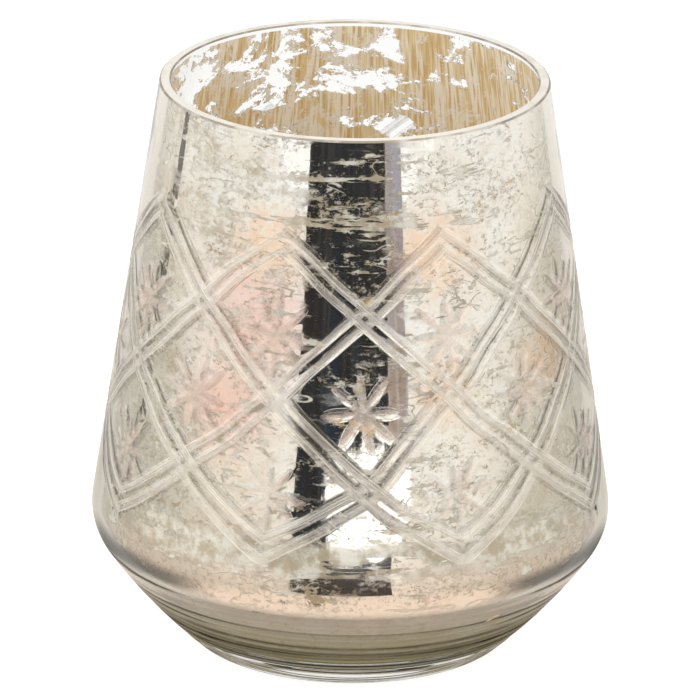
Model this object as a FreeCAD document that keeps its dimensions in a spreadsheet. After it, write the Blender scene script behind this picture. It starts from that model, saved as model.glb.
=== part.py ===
import FreeCAD, Part
import Sketcher
import math
import os
import re

# Tealight holder of silvered, wheel-cut glass, with the tealight that stands inside it.
# Origin: centre of the base on the surface it stands on, +Z up, -Y the side that is seen first.

DIMENSIONS = {
    # glass body, outside
    "body_height": 144.0,
    "rim_radius": 47.95,
    "max_radius": 65.0,
    "wall_angle": 8.8,
    "shoulder_radius": 14.0,
    "bowl_radius": 150.0,
    "base_radius": 41.1,
    "base_edge": 0.6,
    "rim_bevel": 0.4,
    # glass body, inside
    "wall_thickness": 2.8,
    "floor_thickness": 7.0,
    "floor_corner": 7.0,
    # the two films on the inner face
    "silver_thickness": 0.1,
    "lacquer_thickness": 0.1,
    "film_below_rim": 1.2,
    # cut decoration
    "cut_depth": 0.4,
    "cut_clear": 2.0,
    "lattice_top": 118.8,
    "lattice_bottom": 43.0,
    "groove_width": 2.2,
    "strip_width": 1.1,
    "star_radius": 10.0,
    "star_waist": 2.1,
    "pattern_turn": 2.9,
    "star_upper": 95.6,
    "star_middle": 78.0,
    "star_lower": 57.0,
    # tealight
    "tealight_gap": 0.1,
    "cup_foot_radius": 18.3,
    "cup_top_radius": 18.6,
    "cup_height": 16.0,
    "foil": 0.25,
    "lip_radius": 0.45,
    "wax_height": 13.0,
    "wick_radius": 0.8,
    "wick_top": 20.5,
    "sustainer_radius": 6.5,
    "sustainer_plate": 0.3,
    "neck_radius": 1.3,
    "neck_height": 3.2,
}
REPEATS = 8  # of the cut pattern round the wall
STAR_POINTS = 8
SECTOR = 90  # degrees of the wall that one double band crosses
END_ROOM = 6  # mm that the cutting skin reaches past the lattice, above and below

doc = FreeCAD.newDocument("TealightHolder")
sheet = doc.addObject("Spreadsheet::Sheet", "sheet")
for row, (alias, value) in enumerate(DIMENSIONS.items(), start=1):
    sheet.set(f"A{row}", alias)
    sheet.set(f"B{row}", str(value))
    sheet.setAlias(f"B{row}", alias)
doc.recompute()


def cell(expression):
    """The expression with each dimension's name pointed at its cell."""

    def pointed(word):
        return f"sheet.{word[0]}" if word[0] in DIMENSIONS else word[0]

    return re.sub(r"[a-z_]+", pointed, expression)


def value_of(expression):
    """The number that an expression in the sheet's names stands for."""
    result = sheet.evalExpression(cell(expression))
    return float(getattr(result, "Value", result))


def bind(thing, path, expression):
    thing.setExpression(path, cell(expression))


def new_body(label):
    body = doc.addObject("PartDesign::Body", label)
    body.Label = label
    return body


def plane_of(body, role):
    return next(f for f in body.Origin.OriginFeatures if f.Role == role)


def new_sketch(body, name, role="XZ_Plane"):
    sketch = body.newObject("Sketcher::SketchObject", name)
    sketch.AttachmentSupport = [(plane_of(body, role), "")]
    sketch.MapMode = "FlatFace"
    return sketch


def constrain(sketch, kind, *args, expression=None):
    """Adds a constraint; with an expression, its value follows the sheet."""
    if expression is None:
        return sketch.addConstraint(Sketcher.Constraint(kind, *args))
    start = value_of(expression)
    if kind == "Angle":
        start = math.radians(start)
    index = sketch.addConstraint(Sketcher.Constraint(kind, *args, start))
    bind(sketch, f"Constraints[{index}]", expression)
    return index


def point(r, z):
    return FreeCAD.Vector(r, z, 0)


def turned(body, name, corners):
    """A sketch whose corners (radius, height) follow the sheet, turned about the Z axis."""
    sketch = new_sketch(body, name + "_profile")
    numbers = [(value_of(r), value_of(z)) for r, z in corners]
    count = len(corners)
    for i in range(count):
        a, b = numbers[i], numbers[(i + 1) % count]
        sketch.addGeometry(Part.LineSegment(point(*a), point(*b)), False)
    for i in range(count):
        constrain(sketch, "Coincident", i, 2, (i + 1) % count, 1)
    for i, (r, z) in enumerate(corners):
        if numbers[i][0] == 0:
            constrain(sketch, "PointOnObject", i, 1, -2)
        else:
            constrain(sketch, "DistanceX", -1, 1, i, 1, expression=r)
        if numbers[i][1] == 0:
            constrain(sketch, "PointOnObject", i, 1, -1)
        else:
            constrain(sketch, "DistanceY", -1, 1, i, 1, expression=z)
    return revolve(body, name, sketch)


def revolve(body, name, sketch, kind="PartDesign::Revolution"):
    feature = body.newObject(kind, name)
    feature.Profile = sketch
    feature.ReferenceAxis = (sketch, ["V_Axis"])
    feature.Angle = 360
    return feature


# The outside of the glass: a flat base, a bowl, a round shoulder and a straight wall.
def skeleton():
    """Centres of the bowl and shoulder arcs, worked out from the driving dimensions."""
    angle = math.radians(value_of("wall_angle"))
    shoulder = value_of("shoulder_radius")
    bowl = value_of("bowl_radius")
    base = value_of("base_radius")
    centre_r = value_of("max_radius") - shoulder
    reach = centre_r + shoulder / math.cos(angle) - value_of("rim_radius")
    centre_z = value_of("body_height") - reach / math.tan(angle)
    # the bowl's centre is bowl from the base edge, and bowl - shoulder from the shoulder's centre
    apart = math.hypot(centre_r - base, centre_z)
    along = (bowl**2 - (bowl - shoulder) ** 2 + apart**2) / (2 * apart)
    off = math.sqrt(bowl**2 - along**2)
    unit_r, unit_z = (centre_r - base) / apart, centre_z / apart
    bowl_r = base + along * unit_r - off * unit_z
    bowl_z = along * unit_z + off * unit_r
    return (centre_r, centre_z), (bowl_r, bowl_z), angle


def vessel_sketch(body, name, inset, floor, corner, top):
    """The vessel's half outline, set in from the outside by inset, closed along the axis."""
    shoulder_c, bowl_c, angle = skeleton()
    d, floor_z, corner_r, top_z = (value_of(e) for e in (inset, floor, corner, top))
    bowl_r = value_of("bowl_radius") - d
    shoulder_r = value_of("shoulder_radius") - d
    # the corner arc's centre is corner_r above the floor and bowl_r - corner_r from the bowl's centre
    corner_z = floor_z + corner_r
    corner_x = bowl_c[0] + math.sqrt((bowl_r - corner_r) ** 2 - (bowl_c[1] - corner_z) ** 2)
    low = math.atan2(corner_z - bowl_c[1], corner_x - bowl_c[0])
    high = math.atan2(shoulder_c[1] - bowl_c[1], shoulder_c[0] - bowl_c[0])
    wall_start = point(
        shoulder_c[0] + shoulder_r * math.cos(angle), shoulder_c[1] + shoulder_r * math.sin(angle)
    )
    wall_end = point(wall_start.x - (top_z - wall_start.y) * math.tan(angle), top_z)
    z_axis = FreeCAD.Vector(0, 0, 1)

    def arc(centre, radius, start, end):
        circle = Part.Circle(point(*centre), z_axis, radius)
        return Part.ArcOfCircle(circle, start, end)

    sketch = new_sketch(body, name)
    sketch.addGeometry(
        [
            Part.LineSegment(point(0, floor_z), point(corner_x, floor_z)),
            arc((corner_x, corner_z), corner_r, -math.pi / 2, low),
            arc(bowl_c, bowl_r, low, high),
            arc(shoulder_c, shoulder_r, high, angle),
            Part.LineSegment(wall_start, wall_end),
            Part.LineSegment(wall_end, point(0, top_z)),
            Part.LineSegment(point(0, top_z), point(0, floor_z)),
        ],
        False,
    )
    floor_line, corner_arc, bowl_arc, shoulder_arc, wall_line, top_line, axis_line = range(7)
    # the guides are the true outside, which every outline in this vessel is set in from
    guide_bowl, guide_shoulder, guide_wall = 7, 8, 9
    outer_shoulder = value_of("shoulder_radius")
    touch = point(
        shoulder_c[0] + outer_shoulder * math.cos(angle),
        shoulder_c[1] + outer_shoulder * math.sin(angle),
    )
    rim = point(value_of("rim_radius"), value_of("body_height"))
    sketch.addGeometry(
        [
            Part.Circle(point(*bowl_c), z_axis, value_of("bowl_radius")),
            Part.Circle(point(*shoulder_c), z_axis, outer_shoulder),
            Part.LineSegment(touch, rim),
        ],
        True,
    )
    base_point = 10
    sketch.addGeometry(Part.Point(point(value_of("base_radius"), 0)), True)

    constrain(sketch, "Radius", guide_bowl, expression="bowl_radius")
    constrain(sketch, "Radius", guide_shoulder, expression="shoulder_radius")
    constrain(
        sketch, "DistanceX", -1, 1, guide_shoulder, 3, expression="max_radius - shoulder_radius"
    )
    constrain(sketch, "DistanceX", -1, 1, guide_wall, 2, expression="rim_radius")
    constrain(sketch, "DistanceY", -1, 1, guide_wall, 2, expression="body_height")
    constrain(sketch, "Angle", -2, 1, guide_wall, 1, expression="wall_angle")
    constrain(sketch, "Tangent", guide_wall, 1, guide_shoulder)
    constrain(sketch, "DistanceX", -1, 1, base_point, 1, expression="base_radius")
    constrain(sketch, "PointOnObject", base_point, 1, -1)
    constrain(sketch, "PointOnObject", base_point, 1, guide_bowl)
    constrain(sketch, "Tangent", guide_bowl, guide_shoulder)

    constrain(sketch, "Coincident", bowl_arc, 3, guide_bowl, 3)
    constrain(sketch, "Coincident", shoulder_arc, 3, guide_shoulder, 3)
    constrain(sketch, "Radius", shoulder_arc, expression=f"shoulder_radius - ({inset})")
    constrain(sketch, "Tangent", floor_line, 2, corner_arc, 1)
    constrain(sketch, "Tangent", corner_arc, 2, bowl_arc, 1)
    constrain(sketch, "Tangent", bowl_arc, 2, shoulder_arc, 1)
    constrain(sketch, "Tangent", shoulder_arc, 2, wall_line, 1)
    constrain(sketch, "Radius", corner_arc, expression=corner)
    constrain(sketch, "Parallel", wall_line, guide_wall)
    constrain(sketch, "Coincident", wall_line, 2, top_line, 1)
    constrain(sketch, "Coincident", top_line, 2, axis_line, 1)
    constrain(sketch, "Coincident", axis_line, 2, floor_line, 1)
    constrain(sketch, "Horizontal", floor_line)
    constrain(sketch, "Horizontal", top_line)
    constrain(sketch, "PointOnObject", floor_line, 1, -2)
    constrain(sketch, "PointOnObject", top_line, 2, -2)
    if floor_z == 0:
        constrain(sketch, "PointOnObject", floor_line, 1, -1)
    else:
        constrain(sketch, "DistanceY", -1, 1, floor_line, 1, expression=floor)
    constrain(sketch, "DistanceY", -1, 1, top_line, 1, expression=top)
    return sketch


def shell(label, outline, hollow):
    """A body turned from one vessel outline, with a second one grooved out of it."""
    body = new_body(label)
    revolve(body, label + "_turned", vessel_sketch(body, label + "_outline", *outline))
    doc.recompute()
    solid_volume = body.Shape.Volume
    revolve(
        body, label + "_hollow", vessel_sketch(body, label + "_cavity", *hollow), "PartDesign::Groove"
    )
    doc.recompute()
    if not 0 < body.Shape.Volume < solid_volume:
        raise RuntimeError(f"{label}: the groove cut nothing")
    return body


def rim_edges(feature):
    """Names of the two circles that bound the flat rim."""
    top = value_of("body_height")
    names = []
    for i, edge in enumerate(feature.Shape.Edges, start=1):
        is_circle = edge.Curve.TypeId == "Part::GeomCircle"
        if is_circle and abs(edge.Curve.Center.z - top) < 1e-6:
            names.append(f"Edge{i}")
    return names


# The glass before it is cut: a blown vessel with a thick floor and a ground rim.
glass_blank = shell(
    "glass_blank",
    ("0", "0", "base_edge", "body_height"),
    ("wall_thickness", "floor_thickness", "floor_corner", "body_height"),
)
sharp_rim = glass_blank.Tip
bevel = glass_blank.newObject("PartDesign::Chamfer", "rim_bevel_cut")
bevel.Base = (sharp_rim, rim_edges(sharp_rim))
bind(bevel, "Size", "rim_bevel")
glass_blank.Tip = bevel
doc.recompute()


# The cut decoration: two families of double grooves that cross in diamonds, a star in each diamond.
def wall_cone(name, outward, sector_start):
    """A quarter of a cone that stands outward of the wall, or inside it where outward is negative."""
    cone = doc.addObject("Part::Cone", name)
    low, high = f"(lattice_bottom - {END_ROOM})", f"(lattice_top + {END_ROOM})"
    bind(cone, "Radius1", wall_radius(low) + f" + ({outward})")
    bind(cone, "Radius2", wall_radius(high) + f" + ({outward})")
    bind(cone, "Height", f"{high} - {low}")
    cone.Angle = SECTOR
    turn = FreeCAD.Rotation(FreeCAD.Vector(0, 0, 1), sector_start)
    cone.Placement = FreeCAD.Placement(FreeCAD.Vector(0, 0, value_of(low)), turn)
    return cone


def wall_radius(height):
    return f"rim_radius + (body_height - {height}) * tan(wall_angle)"


def band_frame(going):
    """Rotation of a band's slab: its X is radial, its Y is across the grooves, its Z runs along them."""
    top, bottom = value_of("lattice_top"), value_of("lattice_bottom")
    middle = (top + bottom) / 2
    half = math.radians(SECTOR / 2)
    # the band's plane passes through its upper tip, its middle and its lower tip on the wall
    points = []
    for z, turn in ((top, -going * half), (middle, 0), (bottom, going * half)):
        r = value_of(wall_radius(str(z)))
        points.append(FreeCAD.Vector(r * math.cos(turn), r * math.sin(turn), z))
    upper, centre, lower = points
    normal = (upper - centre).cross(lower - centre).normalize()
    across = normal * (1 if normal.y > 0 else -1)
    radial = (FreeCAD.Vector(1, 0, 0) - across * across.x).normalize()
    return FreeCAD.Rotation(radial, across, FreeCAD.Vector(0, 0, 1), "YXZ"), centre


def slab(name, going, side, turn):
    """One groove's slab, as wide as the groove, side is -1 or 1 for the two grooves of a band."""
    rotation, centre = band_frame(going)
    box = doc.addObject("Part::Box", name)
    bind(box, "Length", "max_radius")
    bind(box, "Width", "groove_width")
    bind(box, "Height", "body_height")
    shift = side * value_of("(groove_width + strip_width) / 2") - value_of("groove_width / 2")
    corner = FreeCAD.Vector(-value_of("max_radius") / 2, shift, -value_of("body_height") / 2)
    spin = FreeCAD.Rotation(FreeCAD.Vector(0, 0, 1), turn)
    at = spin.multVec(centre + rotation.multVec(corner))
    box.Placement = FreeCAD.Placement(at, spin.multiply(rotation))
    return box


def star_sketch():
    """The outline of one star, drawn flat; every star's prism is extruded from it."""
    sketch = doc.addObject("Sketcher::SketchObject", "star_outline")
    tip, waist = value_of("star_radius"), value_of("star_waist")
    corners = []
    for i in range(2 * STAR_POINTS):
        angle = math.pi * i / STAR_POINTS
        reach = tip if i % 2 == 0 else waist
        corners.append(point(reach * math.sin(angle), reach * math.cos(angle)))
    count = len(corners)
    for i in range(count):
        sketch.addGeometry(Part.LineSegment(corners[i], corners[(i + 1) % count]), False)
    tip_circle, waist_circle = count, count + 1
    for radius in (tip, waist):
        sketch.addGeometry(Part.Circle(point(0, 0), FreeCAD.Vector(0, 0, 1), radius), True)
    for circle, name in ((tip_circle, "star_radius"), (waist_circle, "star_waist")):
        constrain(sketch, "Coincident", circle, 3, -1, 1)
        constrain(sketch, "Radius", circle, expression=name)
    for i in range(count):
        constrain(sketch, "Coincident", i, 2, (i + 1) % count, 1)
        constrain(sketch, "PointOnObject", i, 1, tip_circle if i % 2 == 0 else waist_circle)
        if i:
            constrain(sketch, "Equal", 0, i)
    constrain(sketch, "PointOnObject", 0, 1, -2)
    return sketch


def star_prism(name, outline, height, turn):
    """A star's prism, square to the wall at that height."""
    prism = doc.addObject("Part::Extrusion", name)
    prism.Base = outline
    prism.DirMode = "Normal"
    prism.Solid = True
    prism.Symmetric = True
    bind(prism, "LengthFwd", "cut_clear * 4")
    lean = FreeCAD.Rotation(FreeCAD.Vector(1, 0, 0), 90 - value_of("wall_angle"))
    to_x = FreeCAD.Rotation(FreeCAD.Vector(0, 0, 1), 90 + turn)
    r = value_of(wall_radius(height))
    spin = FreeCAD.Rotation(FreeCAD.Vector(0, 0, 1), turn)
    at = spin.multVec(FreeCAD.Vector(r, 0, value_of(height)))
    prism.Placement = FreeCAD.Placement(at, to_x.multiply(lean))
    return prism


def lattice_sector(number, outline):
    """The cuts whose middle lies on one of the eight upright lines round the wall."""
    step = 360 / REPEATS
    front = -90  # the -Y side, measured from +X
    turn = front + value_of("pattern_turn") + (number - 0.5) * step
    start = turn - SECTOR / 2
    tag = f"{number + 1}"
    outside = wall_cone(f"sector_out_{tag}", "cut_clear", start)
    inside = wall_cone(f"sector_in_{tag}", "0 - cut_depth / cos(wall_angle)", start)
    skin = doc.addObject("Part::Cut", f"sector_{tag}")
    skin.Base = outside
    skin.Tool = inside
    cutters = []
    for going, way in ((1, "right"), (-1, "left")):
        for side, edge in ((-1, "a"), (1, "b")):
            cutters.append(slab(f"groove_{way}_{edge}_{tag}", going, side, turn))
    for height, offset in (("star_upper", 0), ("star_middle", step / 2), ("star_lower", 0)):
        cutters.append(star_prism(f"{height}_{tag}", outline, height, turn + offset))
    together = doc.addObject("Part::MultiFuse", f"cutters_{tag}")
    together.Shapes = cutters
    cut = doc.addObject("Part::Common", f"cuts_{tag}")
    cut.Base = skin
    cut.Tool = together
    return cut


outline = star_sketch()
all_cuts = doc.addObject("Part::MultiFuse", "all_cuts")
all_cuts.Shapes = [lattice_sector(number, outline) for number in range(REPEATS)]
glass = doc.addObject("Part::Cut", "glass_body")
glass.Base = glass_blank
glass.Tool = all_cuts
glass.Label = "glass_body"
doc.recompute()

# The mirror film inside the glass, and the gold-brown lacquer that covers and protects it.
film_top = "body_height - film_below_rim"
silver_inset = "wall_thickness + silver_thickness"
lacquer_inset = silver_inset + " + lacquer_thickness"
silver_floor = "floor_thickness + silver_thickness"
lacquer_floor = silver_floor + " + lacquer_thickness"
silver_corner = "floor_corner - silver_thickness"
lacquer_corner = silver_corner + " - lacquer_thickness"
silver = shell(
    "silver_coat",
    ("wall_thickness", "floor_thickness", "floor_corner", film_top),
    (silver_inset, silver_floor, silver_corner, film_top),
)
lacquer = shell(
    "lacquer_coat",
    (silver_inset, silver_floor, silver_corner, film_top),
    (lacquer_inset, lacquer_floor, lacquer_corner, film_top),
)


# The tealight stands on the coated floor; its heights are measured from its own underside.
def at(height):
    return f"{lacquer_floor} + tealight_gap + {height}"


cup = new_body("tealight_cup")
turned(
    cup,
    "cup_foil",
    [
        ("0", at("0")),
        ("cup_foot_radius", at("0")),
        ("cup_top_radius", at("cup_height")),
        ("cup_top_radius - foil", at("cup_height")),
        ("cup_foot_radius - foil", at("foil")),
        ("0", at("foil")),
    ],
)
lip_sketch = new_sketch(cup, "cup_lip_profile")
lip_sketch.addGeometry(
    Part.Circle(
        point(value_of("cup_top_radius"), value_of(at("cup_height"))),
        FreeCAD.Vector(0, 0, 1),
        value_of("lip_radius"),
    ),
    False,
)
constrain(lip_sketch, "DistanceX", -1, 1, 0, 3, expression="cup_top_radius")
constrain(lip_sketch, "DistanceY", -1, 1, 0, 3, expression=at("cup_height"))
constrain(lip_sketch, "Radius", 0, expression="lip_radius")
revolve(cup, "cup_lip", lip_sketch)

# the cup's wall leans, so its inner radius at the top of the wax is found along that lean
lean = "((cup_top_radius - cup_foot_radius) / (cup_height - foil))"
wax_top_radius = f"cup_foot_radius - foil + (wax_height - foil) * {lean}"
wax = new_body("tealight_wax")
turned(
    wax,
    "wax_fill",
    [
        ("sustainer_radius", at("foil")),
        ("cup_foot_radius - foil", at("foil")),
        (wax_top_radius, at("wax_height")),
        ("wick_radius", at("wax_height")),
        ("wick_radius", at("foil + neck_height")),
        ("neck_radius", at("foil + neck_height")),
        ("neck_radius", at("foil + sustainer_plate")),
        ("sustainer_radius", at("foil + sustainer_plate")),
    ],
)

sustainer = new_body("wick_sustainer")
turned(
    sustainer,
    "sustainer_plate_and_neck",
    [
        ("wick_radius", at("foil")),
        ("sustainer_radius", at("foil")),
        ("sustainer_radius", at("foil + sustainer_plate")),
        ("neck_radius", at("foil + sustainer_plate")),
        ("neck_radius", at("foil + neck_height")),
        ("wick_radius", at("foil + neck_height")),
    ],
)

wick = new_body("tealight_wick")
turned(
    wick,
    "wick_cotton",
    [
        ("0", at("foil")),
        ("wick_radius", at("foil")),
        ("wick_radius", at("wick_top")),
        ("0", at("wick_top")),
    ],
)
doc.recompute()

nodes = [glass, silver, lacquer, cup, wax, wick, sustainer]
for thing in doc.Objects:
    if any(word in thing.State for word in ("Invalid", "Error")):
        raise RuntimeError(f"{thing.Label}: {thing.State}")
for node in nodes:
    if node.Shape.isNull() or not node.Shape.isValid() or len(node.Shape.Solids) != 1:
        raise RuntimeError(f"{node.Label}: not one valid solid")

os.makedirs("parts", exist_ok=True)
for node in nodes:
    node.Shape.exportStep(f"parts/{node.Label}.step")
    box = node.Shape.BoundBox
    print(
        f"{node.Label}: {node.Shape.Volume:.1f} mm3, {len(node.Shape.Faces)} faces,"
        f" z {box.ZMin:.3f} to {box.ZMax:.3f}, x {box.XMin:.2f} to {box.XMax:.2f}"
    )
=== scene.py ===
import bmesh
import bpy
import math
import numpy as np
from mathutils import Matrix, Vector


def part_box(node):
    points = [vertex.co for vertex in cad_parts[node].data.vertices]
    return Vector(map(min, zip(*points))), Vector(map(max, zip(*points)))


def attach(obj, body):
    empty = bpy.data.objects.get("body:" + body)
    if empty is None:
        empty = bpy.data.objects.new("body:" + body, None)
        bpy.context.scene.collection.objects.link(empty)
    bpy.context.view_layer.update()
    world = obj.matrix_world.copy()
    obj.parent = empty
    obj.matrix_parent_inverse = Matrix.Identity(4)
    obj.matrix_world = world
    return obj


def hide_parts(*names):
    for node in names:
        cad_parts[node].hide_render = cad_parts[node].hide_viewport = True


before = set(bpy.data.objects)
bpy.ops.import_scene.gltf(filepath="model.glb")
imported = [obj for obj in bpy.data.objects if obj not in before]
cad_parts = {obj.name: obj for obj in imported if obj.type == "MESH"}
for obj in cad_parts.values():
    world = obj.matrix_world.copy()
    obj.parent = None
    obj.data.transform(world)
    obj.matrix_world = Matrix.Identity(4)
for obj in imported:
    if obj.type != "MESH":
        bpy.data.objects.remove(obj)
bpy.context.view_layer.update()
mm = 0.001
fullTurn = 2 * math.pi
rng = np.random.default_rng(41)
print("frame loaded:", ", ".join(sorted(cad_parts)))


class Wire:
    # one shader value; Python operators on it add Math nodes
    def __init__(self, finish, socket):
        self.finish, self.socket = finish, socket

    def maths(self, operation, *values):
        return self.finish.node("Math", {"operation": operation}, dict(enumerate(values)))

    def __add__(self, other):
        return self.maths("ADD", self, other)

    def __sub__(self, other):
        return self.maths("SUBTRACT", self, other)

    def __rsub__(self, other):
        return self.maths("SUBTRACT", other, self)

    def __mul__(self, other):
        return self.maths("MULTIPLY", self, other)

    def __truediv__(self, other):
        return self.maths("DIVIDE", self, other)

    def __pow__(self, other):
        return self.maths("POWER", self, other)

    def __abs__(self):
        return self.maths("ABSOLUTE", self)

    __radd__ = __add__
    __rmul__ = __mul__

    def orMore(self, other):
        return self.maths("MAXIMUM", self, other)

    def orLess(self, other):
        return self.maths("MINIMUM", self, other)

    def above(self, limit, soft):
        # 0 below the limit, 1 above it, with a soft edge; a negative soft turns it round
        return self.finish.node("MapRange", {"interpolation_type": "SMOOTHSTEP"}, {
            0: self, 1: limit - soft, 2: limit + soft, 3: 0.0, 4: 1.0})

    def near(self, middle, reach, soft):
        # 1 within reach of the middle, fading to 0 over soft
        return 1 - abs(self - middle).above(reach, soft)


class Finish:
    # one material and the nodes that make it
    def __init__(self, name):
        self.material = bpy.data.materials.new(name)
        self.material.use_nodes = True
        self.nodes = self.material.node_tree.nodes
        self.nodes.clear()
        self.place = self.node("TexCoord", out="Object")
        self.x, self.y, self.z = (
            self.node("SeparateXYZ", inputs={0: self.place}, out=axis) / mm for axis in "XYZ")

    def node(self, kind, settings=None, inputs=None, out=0):
        made = self.nodes.new("ShaderNode" + kind)
        for key, value in (settings or {}).items():
            setattr(made, key, value)
        for key, value in (inputs or {}).items():
            if isinstance(value, Wire):
                self.material.node_tree.links.new(value.socket, made.inputs[key])
            else:
                made.inputs[key].default_value = value
        return Wire(self, made.outputs[out] if len(made.outputs) else None)

    def grain(self, at, detail=2.0, rough=0.5, twist=0.0):
        return self.node("TexNoise", {}, {
            "Vector": at, "Scale": 1.0, "Detail": detail, "Roughness": rough, "Distortion": twist})

    def noise(self, size, stretch=(1, 1, 1), detail=2.0, rough=0.5, twist=0.0, shift=0.0):
        # size is the width of one blotch in mm; a stretch under 1 draws it out along that axis
        at = self.node("VectorMath", {"operation": "MULTIPLY"}, {
            0: self.place, 1: [s / size / mm for s in stretch]})
        if shift:
            at = self.node("VectorMath", {"operation": "ADD"}, {0: at, 1: (shift, -shift, shift * 0.7)})
        return self.grain(at, detail, rough, twist)

    def blend(self, factor, one, other):
        return self.node("Mix", {"data_type": "RGBA"}, {
            0: factor, 6: self.colour(one), 7: self.colour(other)}, out=2)

    def colour(self, value):
        return value if isinstance(value, Wire) else (*value, 1)

    def bump(self, height, distance):
        return self.node("Bump", {}, {"Height": height, "Distance": distance * mm, "Strength": 1.0})

    def attribute(self, name):
        return self.node("Attribute", {"attribute_name": name}, out="Fac")

    def surface(self, **sockets):
        names = {"colour": "Base Color", "rough": "Roughness", "metal": "Metallic", "ior": "IOR",
                 "through": "Transmission Weight", "alpha": "Alpha", "normal": "Normal",
                 "coat": "Coat Weight", "coatRough": "Coat Roughness", "sheen": "Sheen Weight",
                 "subsurface": "Subsurface Weight", "subsurfaceReach": "Subsurface Radius",
                 "subsurfaceScale": "Subsurface Scale", "glow": "Emission Color",
                 "glowStrength": "Emission Strength"}
        return self.node("BsdfPrincipled", {}, {
            names[k]: self.colour(v) if k in ("colour", "glow") else v for k, v in sockets.items()})

    def done(self, shader):
        self.node("OutputMaterial", {}, {0: shader})
        return self.material


class Skin:
    # points in mm and faces of one piece, built ring by ring
    def __init__(self):
        self.points, self.faces, self.kinds = [], [], []
        self.count = 0

    def add(self, xyz):
        first = self.count
        self.points.append(xyz)
        self.count += len(xyz)
        return np.arange(first, self.count)

    def ring(self, radius, height, angles):
        return self.add(np.column_stack((
            radius * np.sin(angles), -radius * np.cos(angles), np.broadcast_to(height, angles.shape))))

    def tip(self, height):
        return self.add(np.array([[0.0, 0.0, height]]))

    def rings(self, line, angles):
        # a ring for each radius and height of an outline, or a tip where it meets the axis
        return [self.ring(r, h, angles) if r > 0 else self.tip(h) for r, h in line]

    def bridge(self, one, other, kind=0):
        # faces between two rings; a ring of one point closes as a fan, and a coarser ring takes
        # several edges of the finer one into each face
        if len(one) < len(other):
            one, other = other, one
        step = len(one) // len(other)
        for i in range(len(one) // step if len(other) > 1 else len(one)):
            if len(other) == 1:
                face = [one[i], one[(i + 1) % len(one)], other[0]]
            else:
                many = [one[(i * step + n) % len(one)] for n in range(step + 1)]
                face = [*many, other[(i + 1) % len(other)], other[i]]
            self.faces.append([int(v) for v in face])
            self.kinds.append(kind)

    def chain(self, rings, kind=0):
        for one, other in zip(rings, rings[1:]):
            self.bridge(one, other, kind)

    def build(self, name, materials, sharp=40.0):
        mesh = bpy.data.meshes.new(name)
        mesh.from_pydata(np.vstack(self.points) * mm, [], self.faces)
        for material in materials:
            mesh.materials.append(material)
        mesh.polygons.foreach_set("material_index", self.kinds)
        mesh.polygons.foreach_set("use_smooth", [True] * len(self.faces))
        work = bmesh.new()
        work.from_mesh(mesh)
        bmesh.ops.recalc_face_normals(work, faces=work.faces)
        work.to_mesh(mesh)
        work.free()
        mesh.set_sharp_from_angle(angle=math.radians(sharp))
        piece = bpy.data.objects.new(name, mesh)
        bpy.context.scene.collection.objects.link(piece)
        return piece


def evenAngles(count):
    return np.arange(count) * fullTurn / count


# the vessel's outline, turned round Z; lengths in mm
vessel = {
    "height": 144.0, "rim": 47.95, "taper": math.radians(8.8),
    "shoulder": (51.0, 32.7865, 14.0),   # centre and radius of the shoulder's arc
    "bowl": (-61.0891, 109.806, 150.0),  # centre and radius of the underside's arc
    "shoulderToBowl": 5.68115, "bowlToFoot": 5.46345,  # where on their arcs they meet, in radians
    "foot": 40.86, "footEdge": 0.6,
    "underFoot": ((36.0, 0.0), (34.5, 0.35), (26.0, 0.75), (14.0, 1.0), (5.0, 1.05)),  # radius, height
    "wall": 2.8, "floor": 7.0, "floorCorner": 7.0, "rimBevel": 0.4,
    "plainAbove": (129.5, 134.0, 138.5), "plainBelow": 35.6,  # heights of the rings past the cutting
    "thinned": 4,  # columns of the cut wall to one of the plain glass
    "insideStep": 2.5, "cornerStep": 0.9, "arcStep": 0.5, "floorRings": 9, "rimRings": 4,
}
# rings that the mould left round the bowl; lengths in mm
mouldRings = {"count": 12, "apart": (1.6, 6.4), "deep": (0.03, 0.12), "wide": (0.6, 1.5), "first": 5.0}
taperSlope = math.tan(vessel["taper"])
shoulderTop = fullTurn + vessel["taper"]


def wallRadius(z):
    return vessel["rim"] + (vessel["height"] - z) * taperSlope


def arcPoints(centre, radius, start, end, step):
    count = max(2, int(abs(end - start) * radius / step))
    turns = np.linspace(start, end, count + 1)
    return [(centre[0] + radius * math.cos(t), centre[1] + radius * math.sin(t)) for t in turns]


def insideOutline(inset, floor, corner, top):
    # from the top of the wall down to the middle of the floor
    sx, sz, sr = vessel["shoulder"]
    bx, bz, br = vessel["bowl"]
    step, cornerStep, meeting = vessel["insideStep"], vessel["cornerStep"], vessel["shoulderToBowl"]
    away = inset / math.cos(vessel["taper"])
    low = sz + (sr - inset) * math.sin(vessel["taper"])
    heights = np.linspace(top, low, int((top - low) / step) + 1)
    line = [(wallRadius(z) - away, z) for z in heights]
    line += arcPoints((sx, sz), sr - inset, shoulderTop, meeting, cornerStep)[1:]
    cornerZ = floor + corner
    reach = br - inset - corner
    cornerX = bx + math.sqrt(reach ** 2 - (bz - cornerZ) ** 2)
    meet = fullTurn + math.atan2(cornerZ - bz, cornerX - bx)
    line += arcPoints((bx, bz), br - inset, meeting, meet, step)[1:]
    line += arcPoints((cornerX, cornerZ), corner, meet, fullTurn * 0.75, cornerStep)[1:]
    line += [(r, floor) for r in np.linspace(cornerX, 0, vessel["floorRings"])[1:]]
    return line


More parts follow.
